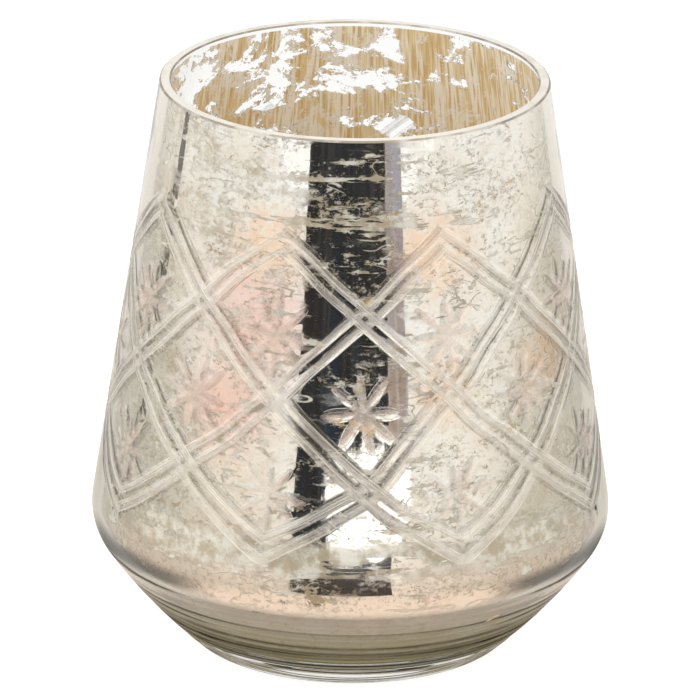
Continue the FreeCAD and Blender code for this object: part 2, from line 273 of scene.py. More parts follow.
# the cut pattern: double bands and stars; lengths in mm
cutting = {
    "repeats": 8, "turn": math.radians(2.9), "top": 118.8, "bottom": 43.0,
    "groove": 2.1, "strip": 1.2, "depth": 0.20, "roundness": 2.0,
    "starHeights": ((95.6, 0.0), (78.0, 0.5), (57.0, 0.0)),  # height, and turn in repeats
    "petals": 8, "petalLength": (8.3, 11.2), "petalWidth": 2.3, "petalDepth": 0.26,
    "petalShape": (2.6, 0.8, 0.62),  # fullness, and how fast it opens and closes
    "petalSway": 0.05, "starSway": 0.09, "starReach": 12.5,
    # the hand-held wheel wanders: how far, and waves round the wall with their pitch up it
    "wander": 0.45, "waves": ((3, 60.0), (5, 47.0), (9, 31.0), (14, 24.0)),
    # where the hand slipped: turn in degrees, height, and how far sideways and up
    "slips": ((2.9, 61.0, 1.0, -1.5), (-42.1, 99.0, 0.4, -0.8),
              (-64.6, 81.0, -0.8, -1.6), (160.4, 99.0, -0.8, 1.5)),
    "slipReach": 8.0,
    "fineStep": 0.44, "fineReach": 5.28, "coarseCells": 40,  # grid: degrees across a band, and cells
    "extraRows": 24, "pastTips": (2.2, 3.0),                 # grid: rows and mm past the lattice
    "sliceReach": 50, "sliceSteps": 401,                     # degrees and steps of the slice's table
}
repeatTurn = fullTurn / cutting["repeats"]
halfBand = math.pi / 4
farOff = 99.0       # stands for no band near
outsideCut = -3.0   # stands for well outside the cutting


def aroundWall(theta, z):
    r = wallRadius(z)
    return np.stack((r * np.sin(theta), -r * np.cos(theta), z + 0 * theta), -1)


def bandPlane(going):
    # a band is a flat slice of the wall, through its two tips and its middle
    middle = (cutting["top"] + cutting["bottom"]) / 2
    upper = aroundWall(np.float64(-going * halfBand), cutting["top"])
    centre = aroundWall(np.float64(0.0), middle)
    lower = aroundWall(np.float64(going * halfBand), cutting["bottom"])
    normal = np.cross(upper - centre, lower - centre)
    normal *= np.sign(normal[2]) / np.linalg.norm(normal)
    return normal, centre


def wrapped(angle):
    return (angle + math.pi) % fullTurn - math.pi


def acrossBand(theta, z, going):
    # mm from the middle line of the nearest band that leans one way
    normal, centre = bandPlane(going)
    nearest = np.full(np.shape(theta), farOff)
    for k in range(cutting["repeats"]):
        local = wrapped(theta - cutting["turn"] - (k - 0.5) * repeatTurn)
        off = (aroundWall(local, z) - centre) @ normal
        off = np.where(np.abs(local) <= halfBand + 1e-6, off, farOff)
        nearest = np.where(np.abs(off) < np.abs(nearest), off, nearest)
    return nearest


def heightOfSlice():
    # height of a band's middle line against its turn from the band's middle, as a table
    normal, centre = bandPlane(1)
    turns = np.radians(np.linspace(-cutting["sliceReach"], cutting["sliceReach"], cutting["sliceSteps"]))
    lean = -normal[0] * np.sin(turns) - normal[1] * np.cos(turns)
    base = vessel["rim"] + vessel["height"] * taperSlope
    heights = (normal @ centre - lean * base) / (normal[2] - lean * taperSlope)
    order = np.argsort(heights)
    quarter = np.radians(90)
    below, above = cutting["pastTips"]
    side = np.sign(turns[order][-1] - turns[order][0])
    return (np.concatenate(([-quarter], turns[order] * side, [quarter])),
            np.concatenate(([heights.min() - below], heights[order], [heights.max() + above])))


def bandNodes():
    # grid lines across one repeat, dense along the band
    reach, step = math.radians(cutting["fineReach"]), math.radians(cutting["fineStep"])
    fine = np.arange(-reach, reach - step / 2, step)
    coarse = np.linspace(reach, repeatTurn - reach, cutting["coarseCells"], endpoint=False)
    return np.concatenate((fine, coarse))


def latticeGrid():
    # turn and height of every grid point; each row is a step along one family of bands,
    # so the grid lines run with the grooves
    nodes = bandNodes()
    perRepeat = len(nodes)

    def nodeTurn(i):
        return nodes[i % perRepeat] + (i // perRepeat) * repeatTurn

    reach = 2 * perRepeat + cutting["extraRows"]
    column = np.arange(perRepeat * cutting["repeats"])[None, :]
    row = np.arange(-reach, reach + 1)[:, None]
    one, other = nodeTurn(column + row), nodeTurn(column)
    sliceTurn, sliceHeight = heightOfSlice()
    theta = (one + other) / 2 + (cutting["turn"] - 0.5 * repeatTurn)
    return theta, np.interp((one - other) / 2, sliceTurn, sliceHeight)


stars = []
for starHeight, starTurn in cutting["starHeights"]:
    for k in range(cutting["repeats"]):
        at = cutting["turn"] + (k - 0.5 + starTurn) * repeatTurn
        lengths = rng.uniform(*cutting["petalLength"], cutting["petals"])
        turns = evenAngles(cutting["petals"]) + rng.normal(0, cutting["petalSway"], cutting["petals"])
        stars.append((at, starHeight, lengths, turns + rng.normal(0, cutting["starSway"])))


def cutInto(theta, z):
    # depth of the cut, and signed distance inside its edge
    half = cutting["groove"] / 2
    depth = np.zeros(theta.shape)
    edge = np.full(theta.shape, outsideCut)
    for going in (1, -1):
        off = np.abs(acrossBand(theta, z, going))
        off = np.abs(off - half - cutting["strip"] / 2)
        part = cutting["depth"] * (1 - np.clip(off / half, 0, 1) ** cutting["roundness"])
        depth, edge = np.maximum(depth, part), np.maximum(edge, half - off)
    halfPetal = cutting["petalWidth"] / 2
    fullness, opening, closing = cutting["petalShape"]
    for at, height, lengths, turns in stars:
        sideways = wrapped(theta - at) * wallRadius(height)
        upward = (z - height) / math.cos(vessel["taper"])
        close = np.hypot(sideways, upward) < cutting["starReach"]
        a, b = sideways[close], upward[close]
        for length, turn in zip(lengths, turns):
            along = (a * math.sin(turn) + b * math.cos(turn)) / length
            beside = np.abs(a * math.cos(turn) - b * math.sin(turn))
            inside = np.clip(along, 0, 1)
            width = halfPetal * (fullness * inside ** opening * (1 - inside) ** closing)
            width = np.where((along > 0) & (along < 1), width, 0)
            part = cutting["petalDepth"] * np.clip(width - beside, 0, None) / halfPetal
            depth[close] = np.maximum(depth[close], part)
            edge[close] = np.maximum(edge[close], np.where(width > 0, width - beside, outsideCut))
    return depth, edge


def strayed(theta, z):
    # small slow shifts of the whole pattern, and the slips
    sideways, upward = np.zeros(theta.shape), np.zeros(theta.shape)
    for waves, pitch in cutting["waves"]:
        for field in (sideways, upward):
            phase, lift = rng.uniform(0, fullTurn, 2)
            field += (cutting["wander"] / 2 * np.sin(waves * theta + phase)
                      * np.cos(fullTurn * z / pitch + lift))
    for turn, height, aside, up in cutting["slips"]:
        away = wrapped(theta - math.radians(turn)) * wallRadius(height)
        pull = np.exp(-(away ** 2 + (z - height) ** 2) / (2 * cutting["slipReach"] ** 2))
        sideways += aside * pull
        upward += up * pull
    return theta + sideways / wallRadius(z), z + upward


# finishes of the glass: clear where it is polished, half matt where it is ground
glass = {
    "tint": (0.985, 0.992, 0.985), "ior": 1.5,
    "grooveDark": (0.72, 0.63, 0.52), "groovePale": (0.96, 0.90, 0.81), "petalTint": (0.80, 0.61, 0.50),
    "mattShare": (0.13, 0.30),  # least, and how much the wheel's lines add
    "petalLess": 0.25,          # how much of it the petals lose
    "lineHeight": 0.055, "gritHeight": 0.012, "waveHeight": 0.10,  # mm
    "bandReach": 2.8,  # mm from a band's middle line
    "rimDark": (0.80, 0.75, 0.66), "rimPale": (0.92, 0.89, 0.82), "rimSoil": (0.55, 0.48, 0.38),
    "rimThrough": 0.30, "arrisThrough": 0.35,
    "arrisPale": (0.62, 0.57, 0.50), "arrisSoil": (0.34, 0.28, 0.21),
}


def clearGlass():
    f = Finish("clearGlass")
    ground = f.attribute("insideCut").above(0.0, 0.07)
    # the wheel leaves fine lines along each groove
    lines, onBand = [], []
    for name in ("acrossRising", "acrossFalling"):
        across = f.attribute(name)
        at = f.node("CombineXYZ", {}, {0: across * 3.4, 1: f.z * 0.05})
        lines.append(f.grain(at, detail=3.0, rough=0.65))
        onBand.append(abs(across).above(glass["bandReach"], -0.1))
    wheelLines = f.node("Mix", {"data_type": "FLOAT"}, {0: onBand[0], 2: lines[1], 3: lines[0]})
    petal = (1 - onBand[0]) * (1 - onBand[1])
    grit = f.noise(0.35, detail=1.0)
    wave = f.noise(26.0, stretch=(1, 1, 0.55), detail=1.0)
    scuffs = f.noise(0.9, stretch=(0.25, 0.25, 1), detail=3.0).above(0.70, 0.04)
    bent = f.bump(wheelLines * ground * glass["lineHeight"] + grit * ground * glass["gritHeight"]
                  + wave * glass["waveHeight"], 1.0)
    clear = f.surface(
        colour=glass["tint"], through=1.0, ior=glass["ior"],
        rough=ground * (0.16 + wheelLines * 0.18) + scuffs * 0.03, normal=bent)
    stone = f.blend(wheelLines, glass["grooveDark"], glass["groovePale"])
    matt = f.surface(colour=f.blend(petal, stone, glass["petalTint"]), rough=0.5, normal=bent)
    least, more = glass["mattShare"]
    share = ground * (least + wheelLines.above(0.50, 0.14) * more) * (1 - petal * glass["petalLess"])
    return f.done(f.node("MixShader", {}, {0: share, 1: clear, 2: matt}))


def groundRim():
    # ground flat and left matt, so it scatters a pale light
    f = Finish("groundRim")
    grain = f.noise(0.6, detail=3.0)
    soil = f.noise(7.0, detail=3.0, shift=3.0).above(0.56, 0.10)
    colour = f.blend(grain, glass["rimDark"], glass["rimPale"])
    return f.done(f.surface(
        colour=f.blend(soil * 0.35, colour, glass["rimSoil"]), through=glass["rimThrough"],
        ior=glass["ior"], rough=0.34 + grain * 0.22, normal=f.bump(grain, 0.05)))


def stonedArris():
    # the two edges of the rim are stoned off and stay a little dirty
    f = Finish("stonedArris")
    soil = f.noise(9.0, detail=4.0).above(0.47, 0.08)
    return f.done(f.surface(
        colour=f.blend(soil, glass["arrisPale"], glass["arrisSoil"]), through=glass["arrisThrough"],
        ior=glass["ior"], rough=0.42 + soil * 0.1))


def wallAndRim(skin, top, turns):
    # plain glass above the cutting, the rim, and the inside down to the floor
    bevel, height = vessel["rimBevel"], vessel["height"]
    first, *others = vessel["plainAbove"]
    fewer = turns[::vessel["thinned"]]
    upper = skin.ring(wallRadius(first), first, turns)
    skin.bridge(top, upper)
    wall = [upper] + [skin.ring(wallRadius(z), z, fewer) for z in (*others, height - bevel)]
    skin.chain(wall)
    rimInner = wallRadius(height) - vessel["wall"] / math.cos(vessel["taper"])
    flat = [skin.ring(r, height, fewer)
            for r in np.linspace(vessel["rim"] - bevel, rimInner + bevel, vessel["rimRings"])]
    inner = skin.rings(insideOutline(
        vessel["wall"], vessel["floor"], vessel["floorCorner"], height - bevel), fewer)
    skin.chain(flat, kind=1)
    skin.bridge(wall[-1], flat[0], kind=2)
    skin.bridge(flat[-1], inner[0], kind=2)
    skin.chain(inner)
    return fewer


def underside(skin, bottom, turns):
    # plain glass below the cutting: shoulder, bowl and foot
    fewer = turns[::vessel["thinned"]]
    below, step = vessel["plainBelow"], vessel["arcStep"]
    low = skin.ring(wallRadius(below), below, turns)
    skin.bridge(bottom, low)
    sx, sz, sr = vessel["shoulder"]
    bx, bz, br = vessel["bowl"]
    shoulder = arcPoints((sx, sz), sr, shoulderTop, vessel["shoulderToBowl"], step)
    bowl = arcPoints((bx, bz), br, vessel["shoulderToBowl"], vessel["bowlToFoot"], step)[1:]
    count = mouldRings["count"]
    places = np.cumsum(rng.uniform(*mouldRings["apart"], count))
    depths, widths = rng.uniform(*mouldRings["deep"], count), rng.uniform(*mouldRings["wide"], count)
    under = [low] + skin.rings(shoulder, fewer)
    for i, (r, h) in enumerate(bowl):
        along = (i + 1) * step - mouldRings["first"]
        sunk = sum(d * math.exp(-((along - p) / w) ** 2) for p, d, w in zip(places, depths, widths))
        inward = (Vector((bx, bz)) - Vector((r, h))).normalized() * sunk
        under.append(skin.ring(r + inward.x, h + inward.y, fewer))
    # the foot's edge is rounded, and inside it the foot is ground flat and then slightly hollow
    foot = vessel["foot"]
    heel = ((foot + 0.08, 0.10), (foot - vessel["footEdge"] * 0.4, 0.0))
    under += skin.rings((*heel, *vessel["underFoot"], (0, vessel["underFoot"][-1][1])), fewer)
    skin.chain(under)


def makeGlass():
    skin = Skin()
    theta, z = latticeGrid()
    depth, edge = cutInto(theta, z)
    rising, falling = acrossBand(theta, z, 1), acrossBand(theta, z, -1)
    thetaCut, zCut = strayed(theta, z)
    radius = wallRadius(zCut) - depth * math.cos(vessel["taper"])
    zCut = zCut - depth * math.sin(vessel["taper"])
    xyz = np.stack((radius * np.sin(thetaCut), -radius * np.cos(thetaCut), zCut), -1)
    grid = skin.add(xyz.reshape(-1, 3)).reshape(theta.shape)
    after = np.roll(grid, -1, axis=1)
    quads = np.stack((grid[1:-1], grid[2:], after[1:-1], after[:-2]), -1).reshape(-1, 4)
    topEnds = np.stack((grid[-1], after[-1], after[-2]), -1)
    lowEnds = np.stack((grid[0], grid[1], after[0]), -1)
    skin.faces += quads.tolist() + topEnds.tolist() + lowEnds.tolist()
    skin.kinds += [0] * len(skin.faces)
    wallTurns = wallAndRim(skin, grid[-1], theta[-1])
    underside(skin, grid[0], theta[0])

    piece = skin.build("cutGlassVessel", [clearGlass(), groundRim(), stonedArris()])
    for name, values, rest in (("insideCut", edge, outsideCut), ("acrossRising", rising, farOff),
                               ("acrossFalling", falling, farOff)):
        layer = np.full(skin.count, rest)
        layer[grid.ravel()] = np.clip(values, -9.0, 9.0).ravel()
        piece.data.attributes.new(name, "FLOAT", "POINT").data.foreach_set("value", layer.astype(np.float32))
    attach(piece, "holder")
    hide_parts("glass_body")
    print("glass vessel cut:", len(piece.data.polygons), "faces")
    return wallTurns


wallTurns = makeGlass()

# the silver and the lacquer inside the glass; lengths in mm
films = {
    "silverOut": 0.03, "silverIn": 0.07, "lacquerOut": 0.11, "lacquerIn": 0.18, "belowRim": 1.2,
    "silverTint": (0.89, 0.87, 0.83), "tarnish": (0.79, 0.71, 0.60), "fog": (0.68, 0.59, 0.46),
    "pinkStain": (0.87, 0.60, 0.51), "peachStain": (0.89, 0.66, 0.48), "shoulderTint": (0.92, 0.76, 0.65),
    # stains: place on the wall and reach
    "pinkAt": ((-23.0, -47.0, 98.0, 21.0), (-31.0, -47.0, 76.0, 17.0)),
    "peachAt": ((19.0, -45.0, 115.0, 16.0), (46.0, -30.0, 84.0, 14.0), (21.0, -51.0, 82.0, 11.0),
                (0.0, 62.0, 80.0, 26.0), (-20.0, -44.0, 117.0, 13.0)),
    "creamBack": (0.93, 0.90, 0.82), "tanBack": (0.60, 0.51, 0.37),
    "ochre": (0.82, 0.62, 0.32), "ochreDeep": (0.60, 0.40, 0.16), "ochreLight": (0.98, 0.94, 0.85),
    "ochrePale": (0.88, 0.75, 0.51), "veil": (0.95, 0.94, 0.91),
}


def nearMouth(f):
    # the back of the wall near the mouth
    return f.y.above(6.0, 22.0) * f.z.above(108.0, 14.0)


def wornField(f):
    # the higher, the thinner both films; thinnest near the mouth at the back and to the left
    leftMore = f.x.above(10.0, -44.0)
    blotch = f.noise(15.0, stretch=(1, 1, 1.7), detail=8.0, rough=0.70, twist=0.35)
    return blotch + nearMouth(f) * (0.045 + leftMore * 0.090) - 0.035


def wornThrough(f):
    # patches where both films have gone
    small = f.noise(2.2, stretch=(1, 1, 1.3), detail=5.0, rough=0.7, twist=0.3, shift=5.0)
    specks = (small + nearMouth(f) * 0.055).above(0.715, 0.008)
    lace = f.noise(1.5, stretch=(1, 1, 0.8), detail=4.0, rough=0.8, shift=23.0)
    return (wornField(f) + (lace - 0.5) * 0.20).above(0.606, 0.008).orMore(specks)


def fleckedOff(f):
    # small losses of the silver alone: clustered crumbs, sideways smears, worm-like scratches
    cluster = f.noise(16.0, stretch=(1, 1, 1.7), detail=4.0, rough=0.6, shift=3.0)
    dense = cluster.above(0.47, 0.13) * (1.0 - f.x.above(14.0, 26.0) * 0.25)
    crumbs = f.noise(1.7, stretch=(0.8, 0.8, 1.2), detail=7.0, rough=0.86, shift=9.0)
    dots = (crumbs + dense * 0.112).above(0.628, 0.012)
    streaks = f.noise(5.0, stretch=(0.26, 0.26, 1.9), detail=6.0, rough=0.72, shift=1.0)
    front = f.x.near(0.0, 16.0, 4.0) * f.y.above(-30.0, -10.0) * f.z.above(88.0, 12.0)
    smear = (streaks + dense * 0.075 + front * 0.030).above(0.645, 0.008)
    winding = f.noise(8.0, stretch=(0.8, 0.8, 1.6), detail=1.0, twist=1.1, shift=7.0)
    worm = abs(winding - 0.5).above(0.030, -0.010) * f.noise(10.0, detail=1.0, shift=13.0).above(0.595, 0.02)
    lowFront = f.z.near(41.0, 5.0, 3.0) * f.y.above(-30.0, -12.0)
    scraps = f.noise(5.5, stretch=(0.30, 0.30, 1.5), detail=6.0, rough=0.7, shift=17.0)
    burnt = (scraps + lowFront * 0.165).above(0.610, 0.012) * lowFront
    shoulderBand = f.z.near(33.5, 3.5, 4.0)
    mottle = f.noise(1.6, detail=6.0, rough=0.75, shift=2.0) + shoulderBand * 0.10
    mottle = mottle.above(0.655, 0.02) * shoulderBand
    onWall = f.z.above(29.0, 4.0)  # the underside keeps its silver
    return dots.orMore(smear).orMore(worm).orMore(burnt) * onWall + mottle * (1 - onWall * 0.3)


def stained(f, places):
    # 1 at each of these places on the wall, fading out over its reach
    spots = []
    for *place, reach in places:
        away = f.node("VectorMath", {"operation": "DISTANCE"}, {
            0: f.place, 1: [c * mm for c in place]}, out="Value") / mm
        spots.append(away.above(reach * 0.62, -reach * 0.5))
    most = spots[0]
    for spot in spots[1:]:
        most = most.orMore(spot)
    return most


def silverFinish():
    f = Finish("antiquedSilver")
    cloud = f.noise(15.0, stretch=(1, 1, 1.2), detail=5.0, rough=0.65, shift=4.0)
    fine = f.noise(2.4, detail=7.0, rough=0.80, shift=6.0)
    fibre = f.noise(6.0, stretch=(1, 1, 0.7), detail=7.0, rough=0.75, twist=0.9, shift=21.0)
    pink, peach = stained(f, films["pinkAt"]), stained(f, films["peachAt"])
    band = f.z.near(31.5, 5.5, 5.0)
    colour = f.blend(cloud.above(0.54, 0.14) * 0.70, films["silverTint"], films["tarnish"])
    colour = f.blend(fine.above(0.555, 0.04) * 0.50, colour, films["fog"])
    colour = f.blend(pink * (0.35 + cloud).orLess(1.0), colour, films["pinkStain"])
    colour = f.blend(peach * (fibre.above(0.47, 0.09) * 0.85 + 0.15), colour, films["peachStain"])
    colour = f.blend(band * (0.45 + fine * 0.6).orLess(1.0), colour, films["shoulderTint"])
    gone = fleckedOff(f).orMore(wornThrough(f)).orLess(1.0)
    dull = f.noise(6.0, stretch=(0.6, 0.6, 1.6), detail=5.0, rough=0.65, shift=8.0)
    ripple = f.noise(9.0, stretch=(1, 1, 0.4), detail=2.0, shift=11.0)
    return f.done(f.surface(
        colour=colour, metal=1.0, rough=0.02 + dull.above(0.58, 0.08) * 0.22, alpha=1 - gone,
        normal=f.bump(ripple, 0.05)))


def lacquerBackFinish():
    # the side that shows through the losses in the silver
    f = Finish("lacquerBack")
    tone = f.noise(4.5, detail=5.0, rough=0.7, shift=15.0)
    return f.done(f.surface(
        colour=f.blend(tone.above(0.50, 0.10), films["creamBack"], films["tanBack"]), rough=0.55,
        alpha=1 - wornThrough(f), normal=f.bump(tone, 0.05)))


def brushMarks(f, size, length, detail, rough=0.5, shift=0.0):
    # noise drawn out up the slope of the wall; size and length of one mark
    radius = (f.x ** 2 + f.y ** 2) ** 0.5
    turn = 0.5 * (vessel["rim"] + vessel["shoulder"][0]) / size
    at = f.node("CombineXYZ", {}, {
        0: f.x / radius * turn + shift, 1: f.y / radius * turn, 2: f.z / length})
    return f.grain(at, detail, rough)


def brushedLacquerFinish():
    # brushed on from the mouth downwards: hairlines run up and down
    f = Finish("brushedLacquer")
    hairs = brushMarks(f, 0.70, 11.0, detail=2.0, shift=2.0)
    strands = brushMarks(f, 3.0, 16.0, detail=3.0, shift=12.0)
    broad = brushMarks(f, 8.0, 14.0, detail=4.0, rough=0.6, shift=4.0)
    puddle = f.noise(9.0, detail=6.0, rough=0.7, twist=0.4, shift=6.0)
    dust = f.noise(0.9, stretch=(1, 1, 0.5), detail=4.0, rough=0.8, shift=19.0)
    colour = f.blend(broad.above(0.46, 0.16), films["ochre"], films["ochrePale"])
    colour = f.blend(hairs.above(0.44, -0.07) * (0.35 + strands * 0.5), colour, films["ochreDeep"])
    pale = (hairs * 0.62 + strands * 0.38).above(0.530, 0.045)
    colour = f.blend(pale * 0.92, colour, films["ochreLight"])
    colour = f.blend(puddle.above(0.57, 0.03) * dust.above(0.44, 0.06) * 0.8, colour, films["veil"])
    halfWorn = (wornField(f) + (dust - 0.5) * 0.12).above(0.590, 0.018)
    colour = f.blend(halfWorn * 0.95, colour, films["veil"])
    return f.done(f.surface(
        colour=colour, rough=0.34 + broad * 0.25, alpha=1 - wornThrough(f), coat=0.25 + hairs * 0.3,
        coatRough=0.15, normal=f.bump(hairs * 0.5 + puddle * 0.8, 0.12)))


def makeFilm(name, outset, inset, outMaterial, inMaterial, node):
    # a thin closed shell that lines the glass
    top = vessel["height"] - films["belowRim"]
    skin = Skin()
    outer, inner = (skin.rings(insideOutline(
        vessel["wall"] + away, vessel["floor"] + away, vessel["floorCorner"] - away, top), wallTurns)
        for away in (outset, inset))
    skin.chain(outer, kind=0)
    skin.chain(inner, kind=1)
    skin.bridge(outer[0], inner[0], kind=1)
    piece = skin.build(name, [outMaterial, inMaterial])
    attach(piece, "holder")
    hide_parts(node)


silver = silverFinish()
makeFilm("silverFilm", films["silverOut"], films["silverIn"], silver, silver, "silver_coat")
makeFilm("goldLacquer", films["lacquerOut"], films["lacquerIn"], lacquerBackFinish(), brushedLacquerFinish(),
         "lacquer_coat")
print("films laid inside the glass")


def spanOf(node):
    # lowest and highest point and largest radius of a CAD node, in mm
    low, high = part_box(node)
    return low[2] / mm, high[2] / mm, high[0] / mm


# the tealight's cup, in mm
cup = {
    "flutes": 44, "pointsPerFlute": 6, "fluteDepth": 0.16, "foil": 0.25, "lip": 0.45, "lean": 0.30,
    "bottom": ((6.0, 0.35), (12.0, 0.30), (14.5, 0.30), (15.3, 0.0), (16.6, 0.0)),  # radius, height
    "raised": 0.35, "heel": 1.0, "heelFlutes": 0.6, "fadeOver": 5,
    "foilDark": (0.80, 0.80, 0.81), "foilPale": (0.90, 0.90, 0.90),
}


def foilFinish():
    f = Finish("foilCup")
    drawn = f.noise(1.6, stretch=(1, 1, 0.12), detail=3.0)
    smudge = f.noise(9.0, detail=3.0)
    return f.done(f.surface(
        colour=f.blend(smudge, cup["foilDark"], cup["foilPale"]), metal=1.0,
        rough=0.20 + drawn * 0.22, normal=f.bump(drawn, 0.05)))


def makeCup():
    low, high, widest = spanOf("tealight_cup")
    lip, foil, heel = cup["lip"], cup["foil"], cup["heel"]
    foot, top = widest - lip - cup["lean"], high - 2 * lip
    neck = widest - lip
    turns = evenAngles(cup["flutes"] * cup["pointsPerFlute"])
    skin = Skin()

    def fluted(radius, height, strength):
        # flutes press inwards only, so the cup keeps its size
        swing = 0.5 - 0.5 * np.cos(turns * cup["flutes"])
        return skin.ring(radius - cup["fluteDepth"] * strength * swing, height, turns)

    def side(step, inset):
        # the flutes fade out towards the lip
        fade = min(1.0, (1 - step) * cup["fadeOver"] + 0.05)
        return fluted(foot + (neck - foot) * step - inset, low + heel + (top - low - heel) * step, fade)

    cupRings = [skin.tip(low + cup["raised"])]
    cupRings += [skin.ring(r, low + h, turns) for r, h in cup["bottom"]]
    for step in np.linspace(0, 1, 5):
        bend = step * math.pi / 2
        cupRings.append(fluted(foot - heel + heel * math.sin(bend), low + heel - heel * math.cos(bend),
                               step * cup["heelFlutes"]))
    cupRings += [side(step, 0) for step in np.linspace(0.12, 1, 9)]
    # the lip rolls outwards
    for bend in np.radians(np.arange(-60, 241, 30)):
        cupRings.append(skin.ring(
            neck - 0.02 + lip * math.cos(bend), top + lip + lip * math.sin(bend), turns))
    cupRings += [side(step, foil) for step in np.linspace(1, 0.1, 9)]
    cupRings.append(skin.ring(foot - 1.2, low + foil, turns))
    inFloor = low + cup["raised"] + foil * 0.4
    cupRings += [skin.ring(8.0, inFloor, turns), skin.tip(inFloor)]
    skin.chain(cupRings)
    piece = skin.build("foilCup", [foilFinish()])
    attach(piece, "tealight")
    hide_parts("tealight_cup")


# the wax, in mm
wax = {
    "lean": 0.55, "clear": 0.06, "heel": 0.7, "sink": 0.85, "middleSink": 0.4,
    "edgeClimb": (0.75, 0.9), "wickClimb": (0.5, 1.3), "wickRadius": 0.8,  # height and reach of each climb
    "dark": (0.86, 0.84, 0.78), "pale": (0.93, 0.92, 0.88),
}


def waxFinish():
    f = Finish("candleWax")
    cloud = f.noise(5.0, detail=4.0, rough=0.6)
    pits = f.noise(0.8, detail=2.0, shift=3.0)
    return f.done(f.surface(
        colour=f.blend(cloud, wax["dark"], wax["pale"]), rough=0.38 + pits * 0.2,
        subsurface=0.4, subsurfaceReach=(1.0, 0.8, 0.6), subsurfaceScale=0.002,
        normal=f.bump(cloud * 0.6 + pits * 0.3, 0.15)))


def makeWax():
    low, high, widest = spanOf("tealight_wax")
    foot, heel, rim = widest - wax["lean"], low + wax["heel"], widest - wax["clear"]
    line = [(0, low), (8.0, low), (foot - 0.8, low), (foot - 0.1, heel)]
    line += [(foot + (rim - foot) * s, heel + (high - 0.1 - heel) * s) for s in (0.3, 0.6, 0.9, 1)]
    # the surface climbs the foil at its edge and the wick in the middle
    (edgeHigh, edgeReach), (wickHigh, wickReach) = wax["edgeClimb"], wax["wickClimb"]
    for r in np.linspace(widest - 0.3, 1.2, 22):
        climb = (edgeHigh * math.exp(-(widest - r) / edgeReach)
                 + wickHigh * math.exp(-(r - wax["wickRadius"]) / wickReach))
        line.append((r, high - wax["sink"] + climb * 0.98))
    line.append((0, high - wax["middleSink"]))
    skin = Skin()
    skin.chain(skin.rings(line, evenAngles(120)))
    piece = skin.build("waxFill", [waxFinish()])
    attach(piece, "tealight")
    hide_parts("tealight_wax")


# the braided wick, in mm
wick = {
    "strands": 3, "strandTurns": 5.0, "rings": 90, "lobe": 0.16, "lobeSharp": 0.7,
    "frayFrom": 0.96, "fray": 0.35, "waxedAbove": 26.8,
    "cottonDark": (0.80, 0.77, 0.68), "cottonPale": (0.93, 0.91, 0.85), "waxed": (0.90, 0.88, 0.84),
}


def wickFinish():
    f = Finish("wickCotton")
    weave = f.noise(0.35, stretch=(1, 1, 0.4), detail=3.0)
    dipped = f.z.above(wick["waxedAbove"], 0.5)
    colour = f.blend(weave, wick["cottonDark"], wick["cottonPale"])
    return f.done(f.surface(
        colour=f.blend(dipped * 0.6, colour, wick["waxed"]), rough=0.55 + weave * 0.3, sheen=0.2,
        normal=f.bump(weave, 0.08)))


def makeWick():
    low, high, widest = spanOf("tealight_wick")
    turns = evenAngles(30)
    skin = Skin()
    wickRings = [skin.tip(low)]
    for step in np.linspace(0, 1, wick["rings"]):
        height = low + 0.02 + (high - low - 0.04) * step
        twist = fullTurn * wick["strandTurns"] * step
        lobes = np.abs(np.cos((turns - twist) * wick["strands"] / 2)) ** wick["lobeSharp"]
        thick = 1 - wick["lobe"] + wick["lobe"] * lobes
        frayed = 1 - wick["fray"] * max(0, step - wick["frayFrom"]) / (1 - wick["frayFrom"])
        wickRings.append(skin.ring(widest * thick * frayed * 0.99, height, turns))
    wickRings.append(skin.tip(high))
    skin.chain(wickRings)
    piece = skin.build("cottonWick", [wickFinish()])
    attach(piece, "tealight")
    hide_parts("tealight_wick")


tin = {"dark": (0.70, 0.70, 0.70), "pale": (0.82, 0.82, 0.80)}


def tinFinish():
    f = Finish("stampedTin")
    brushed = f.noise(1.2, stretch=(0.3, 1, 1), detail=3.0)
    spots = f.noise(2.2, detail=3.0, shift=3.0)
    return f.done(f.surface(
        colour=f.blend(spots, tin["dark"], tin["pale"]), metal=1.0, rough=0.28 + brushed * 0.2,
        normal=f.bump(brushed, 0.03)))


makeCup()
makeWax()
makeWick()
stampedTin = tinFinish()
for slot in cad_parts["wick_sustainer"].material_slots:
    slot.material = stampedTin
print("tealight made")

# floor, sky, light, and the glowing cards that only the silver mirrors, as painted reflections; lengths in
# metres
studio = {
    "skyTint": (1.0, 0.998, 0.99), "skyStrength": 1.03,
    "floorHalf": 8.0, "floorPaint": (0.30, 0.30, 0.30), "floorGlow": 0.88,
    "lightAt": (-0.5, -0.3, 1.8), "lightAim": (0, 0, 0.07), "lightSize": 1.2, "lightPower": 15.0,
    "lightTint": (1.0, 0.99, 0.97),
    # cards stand in front, at Y; each from left to right
    "cardY": -0.5, "cardTop": 0.5, "darkCard": (-0.229, 0.150), "greyCard": (0.150, 0.245),
    # the hot card glows and is seen only in reflections: a painted highlight on the silver
    "hotCard": (-0.14, 0.245), "hotTop": 0.050, "hotAhead": 0.01, "hotGlow": 1.8,
    "darkTableNear": (-0.053, 0.036), "darkTableEnd": -0.138, "darkTableHigh": 0.0006,
    "flagEnds": ((-0.318, 0.0997), (-0.3057, 0.123)), "flagTop": 0.11,
    # the glowing disc that only the silver mirrors: a painted reflection of the table, with painted shade
    # under the foot and at the sides
    "tableRadius": 3.0, "tableHigh": 0.0002,
    "tableFar": (0.97, 0.945, 0.91), "tableNear": (0.95, 0.87, 0.77), "paintedDarkSides": (0.64, 0.60, 0.52),
    "paintedShadeUnder": (0.31, 0.265, 0.165), "paintedShadeStreak": (0.06, 0.05, 0.03), "tableFront": (1.0, 0.88, 0.76),
    "tableShade": (0.21, 0.20, 0.18), "tableBehind": (1.0, 1.0, 1.0),
}


def glowing(f, colour, strength=1.0, **others):
    # a face that only gives off light
    return f.done(f.surface(
        colour=(0.0, 0.0, 0.0), rough=1.0, glow=colour, glowStrength=strength, **others))


